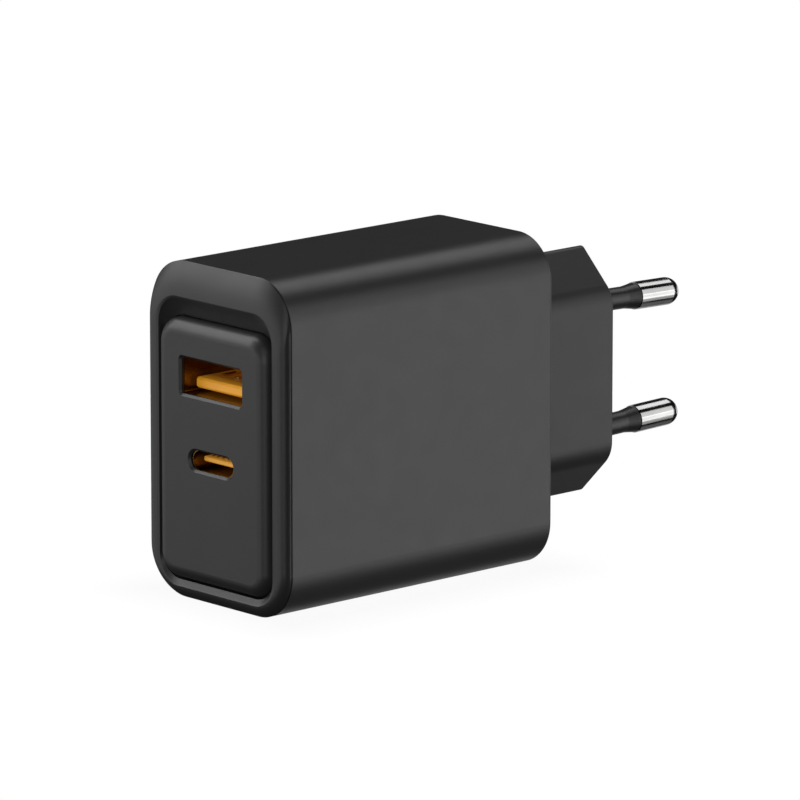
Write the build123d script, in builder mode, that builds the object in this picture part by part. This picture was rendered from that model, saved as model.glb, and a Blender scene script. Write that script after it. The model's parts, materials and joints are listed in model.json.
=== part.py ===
"""A two-port USB wall charger with a two-pin European mains plug, built as separate pieces.

Millimetres. +Z is up, the ports face -Y and the mains pins point along +Y. The origin is the
centre of the housing's flat underside, so the charger stands on Z = 0.
"""

from math import asin, cos, degrees, radians, sin, sqrt
import os

from build123d import *

# ---------------------------------------------------------------- driving dimensions
# Housing: a rounded rectangular sleeve, closed at the rear.
BODY_WIDTH = 28.6
BODY_HEIGHT = 47.2
BODY_DEPTH = 48.4
BODY_CORNER = 6.6
WALL = 1.8
REAR_EDGE = 0.4
SEAM_CHAMFER = 0.08
SEAM_GROOVE, SEAM_DEPTH = 0.2, 0.45  # width and depth of the shadow line behind the cover

# Front cover: a moulded frame with a sloped brow above the port panel.
CREST_RISE = 1.45  # how far the cover's crest stands in front of the housing
CREST_INSET, FOOT_INSET = 1.5, 1.75  # width of the rounding outside the crest, and of its foot's
CREST_STEPS = (0, 15, 30, 45, 60, 75, 90)  # degrees round the crest's outer edge
BROW_DROP = 4.65  # height of the sloped brow, from the seam down to the crest
BROW_TILT_LOW = 3.4  # degrees, the brow's slope at the crest
# The recess's mouth, from the crest inwards. Each loop is its distance in front of the housing,
# its width, height and corner, and how far it is shifted up.
MOUTH = (
    (CREST_RISE + 0.01, 24.5, 40.8, 4.3, -1.47),
    (1.37, 23.5, 40.4, 3.9, -1.54),
    (1.0, 23.3, 39.0, 3.8, -1.48),
    (0.0, 23.1, 37.0, 3.7, -2.45),
)
RECESS_DEPTH = 0.8  # the recess's floor, behind the housing's front
FLOOR = 1.2
SKIRT_LENGTH = 4.5
SKIRT_WALL = 1.2
SKIRT_GAP = 0.1

# Port panel: a raised cushion-edged cap inside the cover's recess.
PANEL_RISE = 2.2
PANEL_WIDTH, PANEL_HEIGHT, PANEL_CORNER, PANEL_SHIFT = 22.9, 36.65, 3.65, -2.43
PANEL_EDGE = 1.95
PANEL_WALL = 1.4
PORT_EDGE = 0.32

# Ports, measured from the housing's mid height.
USB_A_UP, USB_C_UP = 8.2, -3.3
USB_A_OPENING = (12.55, 5.1, 0.4)
USB_C_OPENING = (8.9, 2.76)
USB_A_SHELL = (13.1, 5.7, 0.6, 0.3)  # outer width, height, corner, sheet thickness
USB_C_SHELL = (8.94, 3.26, 0.3)
# How far the shells' front edges and the tongues stand behind the panel's face.
USB_A_SETBACK, USB_A_TONGUE_SETBACK, USB_A_CONTACT_SETBACK = 0.8, 2.4, 5.6
USB_C_SETBACK, USB_C_TONGUE_SETBACK = 0.5, 1.8
SHELL_GAP = 0.05

# Mains plug: 35.6 mm tall hexagonal body, 4 mm pins, 18.6 mm apart at the face and 17.6 mm at the tips.
PLUG_THICKNESS = 13.1
PLUG_APEX = 18.12  # half height of the sharp hexagon, before its apexes are rounded
PLUG_SIDE_RADIUS = 4.6
PLUG_APEX_RADIUS = 0.8
PLUG_LENGTH = 19.3
PLUG_WALL = 1.6
PLUG_END = 3.2
PLUG_FLANGE = 1.4
PLUG_GAP = 0.08
PLUG_FACE_EDGE = 0.3
SLIP = 0.02  # gap of a close fit
PIN_SPACING, PIN_SPACING_TIP = 18.6, 17.6
PIN_RADIUS = 2.0
PIN_LENGTH = 18.4
PIN_CORE = 1.3
SLEEVE_LENGTH = 10.2
SLEEVE_RADIUS = 1.6
SLEEVE_TIP_RADIUS = 1.9
SLEEVE_FLARE = 2.2
SLEEVE_END_GAP = 0.05
SLEEVE_SOCKET = 1.2

# Boards.
BOARD = 1.2
MAIN_BOARD_X = -10.4  # solder face of the main board
RAIL, RAIL_TOP, RAIL_FRONT = 1.1, 4.05, -9.0  # the housing's rails along the main board's edges
PORT_BOARD_Y = -11.6  # front face of the port board

# ---------------------------------------------------------------- derived places
FRONT = -BODY_DEPTH / 2
REAR = BODY_DEPTH / 2
MID = BODY_HEIGHT / 2
PANEL_FACE = FRONT - PANEL_RISE
USB_A_FRONT = PANEL_FACE + USB_A_SETBACK
USB_A_TONGUE_FRONT = PANEL_FACE + USB_A_TONGUE_SETBACK
USB_C_FRONT = PANEL_FACE + USB_C_SETBACK
USB_C_TONGUE_FRONT = PANEL_FACE + USB_C_TONGUE_SETBACK
CAVITY_WIDTH = BODY_WIDTH - 2 * WALL
CAVITY_HEIGHT = BODY_HEIGHT - 2 * WALL
CAVITY_CORNER = BODY_CORNER - WALL
CAVITY_REAR = REAR - WALL
SKIRT_WIDTH = CAVITY_WIDTH - 2 * SKIRT_GAP
SKIRT_HEIGHT = CAVITY_HEIGHT - 2 * SKIRT_GAP
FLOOR_BACK = FRONT + RECESS_DEPTH + FLOOR
PLUG_FACE = REAR + PLUG_LENGTH
BOARD_TOP = MAIN_BOARD_X + BOARD  # component face of the main board
PORT_BOARD_BACK = PORT_BOARD_Y + BOARD
USB_A_Z = MID + USB_A_UP
USB_C_Z = MID + USB_C_UP

SNAP_HEIGHT, SNAP_REACH, SNAP_BEGIN, SNAP_END, SNAP_GAP = 9.0, 0.35, 2.5, 3.5, 0.1
BURY = 0.3  # how deep an added rib, rail or ridge starts inside the wall that carries it
RIB_DEPTH, RIB_HEIGHT, RIB_UP = 1.0, 6.0, 11.6
FIT_GAP = 0.05
CLIP_X, CLIP_THICK, CLIP_WIDE, CLIP_HOOK, CLIP_Z, CLIP_SLOT_SHIFT = 9.7, 0.9, 4.0, 0.4, 10.0, 0.25
CLIP_END = 1.2  # how far the clips reach behind the cover's floor
WINDOW_GAP = 0.3
PANEL_BACK = FRONT + RECESS_DEPTH - FIT_GAP


def section(y, z=MID):
    """The plane across the charger at that y. A positive extrusion runs towards the ports."""
    return Plane(origin=(0, y, z), x_dir=(1, 0, 0), z_dir=(0, -1, 0))


def block(x0, x1, y0, y1, z0, z1, mode=Mode.ADD):
    """A box between two corners."""
    with Locations(((x0 + x1) / 2, (y0 + y1) / 2, (z0 + z1) / 2)):
        Box(x1 - x0, y1 - y0, z1 - z0, mode=mode)


def save(part, name):
    """Labels a finished piece and writes it as its own STEP file."""
    part.label = name
    export_step(part, f"parts/{name}.step")


def plug_outline(y, grow=0.0):
    """The plug's hexagon at that y, apex up, with rounded flanks, grow mm larger all round."""
    half = PLUG_THICKNESS / 2 + grow
    apex = PLUG_APEX + grow * sqrt(2)
    shoulder = apex - half
    with BuildSketch(section(y)) as outline:
        with BuildLine():
            Polyline((0, apex), (half, shoulder), (half, -shoulder), (0, -apex), (-half, -shoulder),
                     (-half, shoulder), close=True)
        make_face()
        flanks = outline.vertices().filter_by(lambda v: abs(v.X) > 1)
        fillet(flanks, max(PLUG_SIDE_RADIUS + grow, 0.5))
        apexes = outline.vertices().filter_by(lambda v: abs(v.X) < 0.01)
        fillet(apexes, max(PLUG_APEX_RADIUS + grow, 0.3))
    return outline.sketch


os.makedirs("parts", exist_ok=True)

# ================================================================ casing
with BuildPart() as main_housing:
    with BuildSketch(section(FRONT)):
        RectangleRounded(BODY_WIDTH, BODY_HEIGHT, BODY_CORNER)
    extrude(amount=-BODY_DEPTH)
    fillet(main_housing.faces().sort_by(Axis.Y)[-1].edges(), REAR_EDGE)
    chamfer(main_housing.faces().sort_by(Axis.Y)[0].edges(), SEAM_CHAMFER)
    with BuildSketch(section(FRONT)):
        RectangleRounded(CAVITY_WIDTH, CAVITY_HEIGHT, CAVITY_CORNER)
    extrude(amount=-(BODY_DEPTH - WALL), mode=Mode.SUBTRACT)
    # opening for the plug body
    extrude(plug_outline(REAR + 1, PLUG_GAP), amount=WALL + 2, mode=Mode.SUBTRACT)
    # pockets for the front cover's snap ridges
    pocket = SNAP_HEIGHT / 2 + SNAP_GAP
    for side in (-1, 1):
        x0, x1 = sorted((side * (CAVITY_WIDTH / 2 - SNAP_GAP),
                         side * (CAVITY_WIDTH / 2 + SNAP_REACH + FIT_GAP)))
        block(x0, x1, FRONT + SNAP_BEGIN - SNAP_GAP, FRONT + SNAP_END + SNAP_GAP, MID - pocket,
              MID + pocket, mode=Mode.SUBTRACT)
    # rails that hold the main board's upper and lower edges
    for x0 in (MAIN_BOARD_X - RAIL - FIT_GAP, BOARD_TOP + FIT_GAP):
        for z0, z1 in ((WALL - BURY, RAIL_TOP), (BODY_HEIGHT - RAIL_TOP, BODY_HEIGHT - WALL + BURY)):
            block(x0, x0 + RAIL, RAIL_FRONT, CAVITY_REAR + BURY, z0, z1)
    # ribs behind the port board's left and right edges
    rib_front = PORT_BOARD_BACK + FIT_GAP
    for side in (-1, 1):
        x0, x1 = sorted((side * (CAVITY_WIDTH / 2 - RIB_DEPTH), side * (CAVITY_WIDTH / 2 + BURY)))
        for z in (MID - RIB_UP, MID + RIB_UP):
            block(x0, x1, rib_front, rib_front + RIB_DEPTH, z - RIB_HEIGHT / 2, z + RIB_HEIGHT / 2)
save(main_housing.part, "main_housing")

# The cover's outer skin is lofted through sections. Its sides round over in a quarter circle, its
# foot in a flatter arc, and its top edge follows a long shallow arc: the brow.
BROW_RISE = CREST_RISE - SEAM_GROOVE
_, RECESS_WIDTH, RECESS_HEIGHT, RECESS_CORNER, RECESS_SHIFT = MOUTH[-1]
BROW_TILT_HIGH = 2 * degrees(asin(BROW_RISE / sqrt(BROW_RISE**2 + BROW_DROP**2))) - BROW_TILT_LOW
BROW_RADIUS = BROW_DROP / (sin(radians(BROW_TILT_HIGH)) - sin(radians(BROW_TILT_LOW)))


def brow_drop(rise):
    """How far the brow has come down from the seam where it stands that far in front of it."""
    slope = cos(radians(BROW_TILT_HIGH)) + rise / BROW_RADIUS
    return BROW_RADIUS * (sin(radians(BROW_TILT_HIGH)) - sqrt(1 - slope**2))


with BuildPart() as front_cover:
    # narrow neck that leaves a shadow line next to the housing
    with BuildSketch(section(FRONT)):
        RectangleRounded(BODY_WIDTH - 2 * SEAM_DEPTH, BODY_HEIGHT - 2 * SEAM_DEPTH,
                         BODY_CORNER - SEAM_DEPTH)
    extrude(amount=SEAM_GROOVE)
    for angle in CREST_STEPS:
        rise = BROW_RISE * sin(radians(angle))
        inset = CREST_INSET * (1 - cos(radians(angle)))
        foot = FOOT_INSET * (1 + sin(radians(angle)) - cos(radians(angle))) / 2
        drop = brow_drop(rise)
        with BuildSketch(section(FRONT - SEAM_GROOVE - rise, MID + (foot - drop) / 2)):
            RectangleRounded(BODY_WIDTH - 2 * inset, BODY_HEIGHT - foot - drop, BODY_CORNER - inset)
    loft()
    with BuildSketch(section(FRONT)):
        RectangleRounded(SKIRT_WIDTH, SKIRT_HEIGHT, CAVITY_CORNER - SKIRT_GAP)
    extrude(amount=-SKIRT_LENGTH)
    with BuildSketch(section(FRONT + SKIRT_LENGTH)):
        RectangleRounded(SKIRT_WIDTH - 2 * SKIRT_WALL, SKIRT_HEIGHT - 2 * SKIRT_WALL,
                         CAVITY_CORNER - SKIRT_WALL)
    extrude(amount=SKIRT_LENGTH - RECESS_DEPTH - FLOOR, mode=Mode.SUBTRACT)
    # mouth of the recess: nearly straight at the sides, with long slopes above and below the panel
    for rise, width, height, corner, shift in MOUTH:
        with BuildSketch(section(FRONT - rise, MID + shift)):
            RectangleRounded(width, height, corner)
    loft(ruled=True, mode=Mode.SUBTRACT)
    with BuildSketch(section(FRONT, MID + RECESS_SHIFT)):
        RectangleRounded(RECESS_WIDTH, RECESS_HEIGHT, RECESS_CORNER)
    extrude(amount=-RECESS_DEPTH, mode=Mode.SUBTRACT)
    # windows in the floor for the two port shells and the panel's clips
    with BuildSketch(section(FRONT)):
        with Locations((0, USB_A_UP)):
            Rectangle(USB_A_SHELL[0] + 2 * WINDOW_GAP, USB_A_SHELL[1] + 2 * WINDOW_GAP)
        with Locations((0, USB_C_UP)):
            SlotOverall(USB_C_SHELL[0] + 2 * WINDOW_GAP, USB_C_SHELL[1] + 2 * WINDOW_GAP)
        slot_x = CLIP_X + CLIP_THICK / 2 - CLIP_SLOT_SHIFT
        slots = [(side * slot_x, RECESS_SHIFT + up) for side in (-1, 1) for up in (-CLIP_Z, CLIP_Z)]
        with Locations(*slots):
            Rectangle(CLIP_THICK + 2 * WINDOW_GAP, CLIP_WIDE + 2 * WINDOW_GAP)
    extrude(amount=-SKIRT_LENGTH, mode=Mode.SUBTRACT)
    # snap ridges on the skirt
    for side in (-1, 1):
        x0, x1 = sorted((side * (SKIRT_WIDTH / 2 - BURY), side * (SKIRT_WIDTH / 2 + SNAP_REACH)))
        block(x0, x1, FRONT + SNAP_BEGIN, FRONT + SNAP_END, MID - SNAP_HEIGHT / 2,
              MID + SNAP_HEIGHT / 2)
save(front_cover.part, "front_cover")

with BuildPart() as port_panel:
    with BuildSketch(section(PANEL_BACK, MID + PANEL_SHIFT)):
        RectangleRounded(PANEL_WIDTH, PANEL_HEIGHT, PANEL_CORNER)
    extrude(amount=PANEL_BACK - PANEL_FACE)
    fillet(port_panel.faces().sort_by(Axis.Y)[0].edges(), PANEL_EDGE)
    with BuildSketch(section(PANEL_BACK, MID + PANEL_SHIFT)):
        RectangleRounded(PANEL_WIDTH - 2 * PANEL_WALL, PANEL_HEIGHT - 2 * PANEL_WALL,
                         PANEL_CORNER - PANEL_WALL)
    extrude(amount=PANEL_BACK - PANEL_FACE - PANEL_WALL, mode=Mode.SUBTRACT)
    with BuildSketch(section(PANEL_FACE)):
        with Locations((0, USB_A_UP)):
            RectangleRounded(*USB_A_OPENING)
        with Locations((0, USB_C_UP)):
            SlotOverall(*USB_C_OPENING)
    extrude(amount=-2 * PANEL_WALL, mode=Mode.SUBTRACT)
    port_rims = port_panel.faces().sort_by(Axis.Y)[0].inner_wires().edges()
    chamfer(port_rims, PORT_EDGE)
    # pockets behind the openings, in which the shells' front edges sit
    with BuildSketch(section(USB_A_FRONT - SHELL_GAP, USB_A_Z)):
        RectangleRounded(USB_A_SHELL[0] + 2 * SHELL_GAP, USB_A_SHELL[1] + 2 * SHELL_GAP, USB_A_SHELL[2])
    extrude(amount=-PANEL_WALL, mode=Mode.SUBTRACT)
    with BuildSketch(section(USB_C_FRONT - SHELL_GAP, USB_C_Z)):
        SlotOverall(USB_C_SHELL[0] + 2 * SHELL_GAP, USB_C_SHELL[1] + 2 * SHELL_GAP)
    extrude(amount=-PANEL_WALL, mode=Mode.SUBTRACT)
    # spring clips through the cover's floor
    for side in (-1, 1):
        for z in (MID + PANEL_SHIFT - CLIP_Z, MID + PANEL_SHIFT + CLIP_Z):
            z0, z1 = z - CLIP_WIDE / 2, z + CLIP_WIDE / 2
            x0, x1 = sorted((side * CLIP_X, side * (CLIP_X + CLIP_THICK)))
            block(x0, x1, PANEL_FACE + PANEL_WALL - BURY, FLOOR_BACK + CLIP_END, z0, z1)
            x0, x1 = sorted((side * CLIP_X, side * (CLIP_X + CLIP_THICK + CLIP_HOOK)))
            block(x0, x1, FLOOR_BACK + FIT_GAP, FLOOR_BACK + CLIP_END / 2, z0, z1)
save(port_panel.part, "port_panel")

# ================================================================ mains plug
with BuildPart() as plug_base:
    extrude(plug_outline(PLUG_FACE), amount=PLUG_LENGTH + WALL + PLUG_FLANGE)
    fillet(plug_base.faces().sort_by(Axis.Y)[-1].edges(), PLUG_FACE_EDGE)
    extrude(plug_outline(CAVITY_REAR - SLIP, PLUG_FLANGE), amount=PLUG_FLANGE)
    extrude(plug_outline(PLUG_FACE - PLUG_END, -PLUG_WALL), amount=PLUG_LENGTH + WALL,
            mode=Mode.SUBTRACT)

PIN_TILT = degrees(asin((PIN_SPACING - PIN_SPACING_TIP) / 2 / PIN_LENGTH))


def pin_frame(side):
    """The pin's own plane, with local y running out along it. Side is 1 above and -1 below."""
    lean = radians(PIN_TILT) * side
    root = (0, PLUG_FACE, MID + side * PIN_SPACING / 2)
    return Plane(origin=root, x_dir=(1, 0, 0), z_dir=(0, sin(lean), cos(lean)))


def turned(profile, side):
    """Turns a closed half outline, given as (radius, distance along the pin), about the pin's axis."""
    frame = pin_frame(side)
    with BuildSketch(frame) as outline:
        with BuildLine():
            Polyline(*profile, close=True)
        make_face()
    revolve(outline.sketch, axis=Axis(frame.origin, frame.y_dir))


HEAD = -PLUG_END - 0.12  # front of the pin's head, behind the plug's end wall
SHANK = -PLUG_END - 0.9  # back of the head, where the riveted shank starts
RIVET = SHANK - 1.5
HEAD_RADIUS, SHANK_RADIUS = 2.4, 0.85
pin_holes = []
for side in (1, -1):
    with BuildPart() as pin_hole:
        turned([(0, -PLUG_END - 1), (PIN_CORE + SLIP, -PLUG_END - 1),
                (PIN_CORE + SLIP, -SLEEVE_SOCKET), (SLEEVE_RADIUS + SLIP, -SLEEVE_SOCKET),
                (SLEEVE_RADIUS + SLIP, 1), (0, 1)], side)
    pin_holes.append(pin_hole.part)
with plug_base:
    add(pin_holes, mode=Mode.SUBTRACT)
save(plug_base.part, "plug_base")

STRIP, STRIP_WIDE, STRIP_FRONT = 0.4, 3.0, 14.6
STRIP_UP = PIN_SPACING / 2 + 0.1
strip_foot = BOARD_TOP + STRIP / 2 + SLIP
for side, name in ((1, "upper"), (-1, "lower")):
    frame = pin_frame(side)
    with BuildPart() as mains_pin:
        # riveted shank, core under the sleeve, bare tip with a round end
        with BuildSketch(frame):
            with BuildLine():
                Polyline((0, PIN_LENGTH), (0, RIVET), (SHANK_RADIUS, RIVET), (SHANK_RADIUS, SHANK),
                         (HEAD_RADIUS, SHANK), (HEAD_RADIUS, HEAD), (PIN_CORE, HEAD),
                         (PIN_CORE, SLEEVE_LENGTH), (PIN_RADIUS, SLEEVE_LENGTH),
                         (PIN_RADIUS, PIN_LENGTH - PIN_RADIUS))
                RadiusArc((PIN_RADIUS, PIN_LENGTH - PIN_RADIUS), (0, PIN_LENGTH), -PIN_RADIUS)
            make_face()
        revolve(axis=Axis(frame.origin, frame.y_dir))
    save(mains_pin.part, f"{name}_mains_pin")

    with BuildPart() as pin_sleeve:
        bore, sleeve_back = PIN_CORE + SLIP, SLIP - SLEEVE_SOCKET
        sleeve_end = SLEEVE_LENGTH - SLEEVE_END_GAP
        turned([(bore, sleeve_back), (SLEEVE_RADIUS, sleeve_back),
                (SLEEVE_RADIUS, SLEEVE_LENGTH - SLEEVE_FLARE), (SLEEVE_TIP_RADIUS, sleeve_end),
                (bore, sleeve_end)], side)
    save(pin_sleeve.part, f"{name}_pin_sleeve")

    # brass strip from the pin's rivet, along the plug's hollow, down to the main board
    strip_y = PLUG_FACE + SHANK - STRIP / 2 - FIT_GAP
    strip_z = MID + side * STRIP_UP
    with BuildPart() as contact_strip:
        with BuildSketch(Plane.XY.offset(strip_z - STRIP_WIDE / 2)):
            with BuildLine():
                spine = FilletPolyline((2.4, strip_y), (-2.8, strip_y), (-3.4, 20.2),
                                       (strip_foot, 17.2), (strip_foot, STRIP_FRONT), radius=0.7)
                offset(spine, amount=STRIP / 2, kind=Kind.ARC, side=Side.BOTH)
            make_face()
        extrude(amount=STRIP_WIDE)
        # hole for the pin's shank
        with BuildSketch(section(strip_y + 1, strip_z)):
            Circle(1.0)
        extrude(amount=2.2, mode=Mode.SUBTRACT)
    save(contact_strip.part, f"{name}_contact_strip")

# ================================================================ boards
LEAD = 0.35
LEAD_TAIL = 0.7
LIFT = 0.3
SEAT = BOARD_TOP + LIFT  # height at which the tall components' bodies begin
MAIN_BOARD_Y = (-9.8, 22.2)
MAIN_BOARD_Z = (3.0, 44.2)
PORT_BOARD_X, PORT_BOARD_Z = 24.4, (4.4, 42.8)


def board_plane(x):
    """A plane parallel to the main board at that x, with the charger's y and z as its own x and y."""
    return Plane.YZ.offset(x)


def leads(points, top=SEAT, radius=LEAD):
    """Round leads through the main board, from below its solder face up to the given height."""
    with BuildSketch(board_plane(MAIN_BOARD_X - LEAD_TAIL)) as ends:
        with Locations(*points):
            Circle(radius)
    extrude(ends.sketch, amount=top + 0.2 - (MAIN_BOARD_X - LEAD_TAIL))


def pair(y, z, dy=0.0, dz=0.0):
    """Two lead places about a centre."""
    return [(y - dy / 2, z - dz / 2), (y + dy / 2, z + dz / 2)]


# Component places on the main board, as (y, z) of each body's centre, and the leads under them.
FUSE = (16.6, 39.2)
THERMISTOR = (16.2, MID)
Y_CAPACITOR = (16.2, 7.4)
X_CAPACITOR = (10.6, 37.3)
BRIDGE = (11.2, MID + 0.2)
CHOKE = (9.7, 9.6)
UPPER_BULK, LOWER_BULK = (2.1, 38.1), (2.1, 9.1)
TRANSFORMER = (-1.3, MID)
OUTPUT_CAPACITOR = (-6.1, 37.2)
OPTOCOUPLER = (-6.4, 8.4)
LINK_X, LINK_Y, LINK_Z = BOARD_TOP + 1.2, -8.7, (15.5, 19.0, 22.5, 26.0)
LEADS = {
    "fuse": pair(*FUSE, dz=5.0),
    "thermistor": pair(*THERMISTOR, dz=5.0),
    "y_capacitor": pair(*Y_CAPACITOR, dz=5.0),
    "x_capacitor": pair(*X_CAPACITOR, dz=10.0),
    "bridge": [(BRIDGE[0], BRIDGE[1] + z) for z in (-5.7, -1.9, 1.9, 5.7)],
    "choke": [(CHOKE[0] + y, CHOKE[1] + z) for y in (-2.2, 2.2) for z in (-4.2, 4.2)],
    "upper_bulk": pair(*UPPER_BULK, dz=5.0),
    "lower_bulk": pair(*LOWER_BULK, dz=5.0),
    "transformer": [(TRANSFORMER[0] + y, MID + z) for y in (-5.4, 5.4) for z in (-6, -2, 2, 6)],
    "output": pair(*OUTPUT_CAPACITOR, dz=2.5),
    "opto": [(OPTOCOUPLER[0] + y, OPTOCOUPLER[1] + z) for y in (-1.27, 1.27) for z in (-2.8, 2.8)],
    "link": [(LINK_Y, z) for z in LINK_Z],
    "strip": [(STRIP_FRONT + 0.8, MID + side * STRIP_UP) for side in (-1, 1)],
}

with BuildPart() as main_board:
    block(MAIN_BOARD_X, BOARD_TOP, *MAIN_BOARD_Y, *MAIN_BOARD_Z)
    with BuildSketch(board_plane(MAIN_BOARD_X - 1)):
        for points in LEADS.values():
            with Locations(*points):
                Circle(LEAD + 0.1)
    extrude(amount=BOARD + 2, mode=Mode.SUBTRACT)
save(main_board.part, "main_board")

USB_A_TAB_Z, USB_C_TAB_Z = 1.4, 0.9
USB_A_TAB_X = USB_A_SHELL[0] / 2 - USB_A_SHELL[3] / 2
USB_C_TAB_X = USB_C_SHELL[0] / 2 - USB_C_SHELL[2] / 2
USB_A_PITCHES = (-3.5, -1.0, 1.0, 3.5)
USB_C_LEADS = [(x, z) for x in (-2.5, -1.5, -0.5, 0.5, 1.5, 2.5) for z in (-0.55, 0.55)]
PORT_CAPACITOR_X, PORT_CAPACITOR_Z = 5.2, 9.6
with BuildPart() as port_board:
    with BuildSketch(section(PORT_BOARD_Y, sum(PORT_BOARD_Z) / 2)):
        RectangleRounded(PORT_BOARD_X, PORT_BOARD_Z[1] - PORT_BOARD_Z[0], 3.0)
    extrude(amount=-BOARD)
    with BuildSketch(section(PORT_BOARD_Y - 1)):
        # contact leads, shell tabs and link pins
        with Locations(*[(x, USB_A_Z - MID - 0.35) for x in USB_A_PITCHES]):
            Rectangle(1.2, 0.6)
        with Locations(*[(x, USB_C_Z - MID + z) for x, z in USB_C_LEADS]):
            Circle(0.24)
        with Locations(*[(x, USB_A_Z - MID) for x in (-USB_A_TAB_X, USB_A_TAB_X)]):
            Rectangle(0.6, 2 * USB_A_TAB_Z + 0.3)
        with Locations(*[(x, USB_C_Z - MID) for x in (-USB_C_TAB_X, USB_C_TAB_X)]):
            Rectangle(0.6, 2 * USB_C_TAB_Z + 0.2)
        with Locations(*[(LINK_X, z - MID) for z in LINK_Z]):
            Circle(LEAD + 0.1)
    extrude(amount=-BOARD - 2, mode=Mode.SUBTRACT)
save(port_board.part, "port_board")

with BuildPart() as board_link_pins:
    for z in LINK_Z:
        with BuildLine():
            path = FilletPolyline((LINK_X, PORT_BOARD_Y - 0.7, z), (LINK_X, LINK_Y, z),
                                  (MAIN_BOARD_X - LEAD_TAIL, LINK_Y, z), radius=0.6)
        with BuildSketch(Plane(origin=path @ 0, z_dir=path % 0)):
            Circle(LEAD)
        sweep(path=path)
save(board_link_pins.part, "board_link_pins")

SHEET_X, SHEET, SHEET_Y, SHEET_Z = -12.35, 0.25, (-9.0, 20.5), (5.8, 41.4)
with BuildPart() as insulation_sheet:
    block(SHEET_X, SHEET_X + SHEET, *SHEET_Y, *SHEET_Z)
save(insulation_sheet.part, "insulation_sheet")

# ================================================================ USB-A receptacle
SHELL_REAR = PORT_BOARD_Y - 0.05
TONGUE_TOP = USB_A_Z - 0.5
USB_A_BLOCK = -16.4  # front face of the insulator's rear block
USB_A_TONGUE_HALF, USB_A_TONGUE_THICK, USB_A_TONGUE_EDGE = 5.55, 1.5, 0.3
USB_A_BLOCK_HALF, USB_A_BLOCK_RISE = 6.15, 2.45
USB_A_SLOT, USB_A_CONTACT, USB_A_CONTACT_THICK = 0.55, 0.5, 0.25  # half widths, then thickness
WINDOW_X, WINDOW_HALF, WINDOW_Y = 3.1, 1.3, (-21.9, -17.3)
SPRING_HALF, SPRING_Y = 1.0, (-21.0, -17.2)
TAIL = 0.8  # how far tabs and contacts reach through the port board
with BuildPart() as usb_a_shell:
    width, height, corner, sheet = USB_A_SHELL
    with BuildSketch(section(USB_A_FRONT, USB_A_Z)):
        RectangleRounded(width, height, corner)
        RectangleRounded(width - 2 * sheet, height - 2 * sheet, corner - sheet, mode=Mode.SUBTRACT)
    extrude(amount=USB_A_FRONT - SHELL_REAR)
    # sprung windows in the upper and lower walls
    for x in (-WINDOW_X, WINDOW_X):
        for z in (USB_A_Z - height / 2, USB_A_Z + height / 2):
            block(x - WINDOW_HALF, x + WINDOW_HALF, *WINDOW_Y, z - 2 * sheet, z + 2 * sheet,
                  mode=Mode.SUBTRACT)
            block(x - SPRING_HALF, x + SPRING_HALF, *SPRING_Y, z - sheet * (z > USB_A_Z),
                  z + sheet * (z < USB_A_Z))
    for x in (-USB_A_TAB_X, USB_A_TAB_X):
        block(x - sheet / 2, x + sheet / 2, SHELL_REAR - 0.1, PORT_BOARD_BACK + TAIL,
              USB_A_Z - USB_A_TAB_Z, USB_A_Z + USB_A_TAB_Z)
save(usb_a_shell.part, "usb_a_shell")

with BuildPart() as usb_a_insulator:
    block(-USB_A_TONGUE_HALF, USB_A_TONGUE_HALF, USB_A_TONGUE_FRONT, USB_A_BLOCK + BURY,
          TONGUE_TOP - USB_A_TONGUE_THICK, TONGUE_TOP)
    chamfer(usb_a_insulator.edges().filter_by(Axis.X).group_by(Axis.Y)[0], USB_A_TONGUE_EDGE)
    block(-USB_A_BLOCK_HALF, USB_A_BLOCK_HALF, USB_A_BLOCK, SHELL_REAR, USB_A_Z - USB_A_BLOCK_RISE,
          USB_A_Z + USB_A_BLOCK_RISE)
    for x in USB_A_PITCHES:
        block(x - USB_A_SLOT, x + USB_A_SLOT, USB_A_BLOCK - 0.1, PORT_BOARD_Y, TONGUE_TOP,
              TONGUE_TOP + USB_A_CONTACT_THICK + FIT_GAP, mode=Mode.SUBTRACT)
save(usb_a_insulator.part, "usb_a_insulator")

with BuildPart() as usb_a_contacts:
    for x in USB_A_PITCHES:
        block(x - USB_A_CONTACT, x + USB_A_CONTACT, PANEL_FACE + USB_A_CONTACT_SETBACK,
              PORT_BOARD_BACK + TAIL, TONGUE_TOP, TONGUE_TOP + USB_A_CONTACT_THICK)
save(usb_a_contacts.part, "usb_a_contacts")

# ================================================================ USB-C receptacle
USB_C_BLOCK = -15.4  # front face of the tongue's rear block
USB_C_TAB_LAP = 2.0
USB_C_SLOT, USB_C_CONTACT = 0.22, 0.14  # half widths
USB_C_TONGUE = (6.7, 0.7)
with BuildPart() as usb_c_shell:
    width, height, sheet = USB_C_SHELL
    with BuildSketch(section(USB_C_FRONT, USB_C_Z)):
        SlotOverall(width, height)
        SlotOverall(width - 2 * sheet, height - 2 * sheet, mode=Mode.SUBTRACT)
    extrude(amount=USB_C_FRONT - SHELL_REAR)
    for x in (-USB_C_TAB_X, USB_C_TAB_X):
        block(x - sheet / 2, x + sheet / 2, SHELL_REAR - USB_C_TAB_LAP, PORT_BOARD_BACK + TAIL,
              USB_C_Z - USB_C_TAB_Z, USB_C_Z + USB_C_TAB_Z)
save(usb_c_shell.part, "usb_c_shell")

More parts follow.
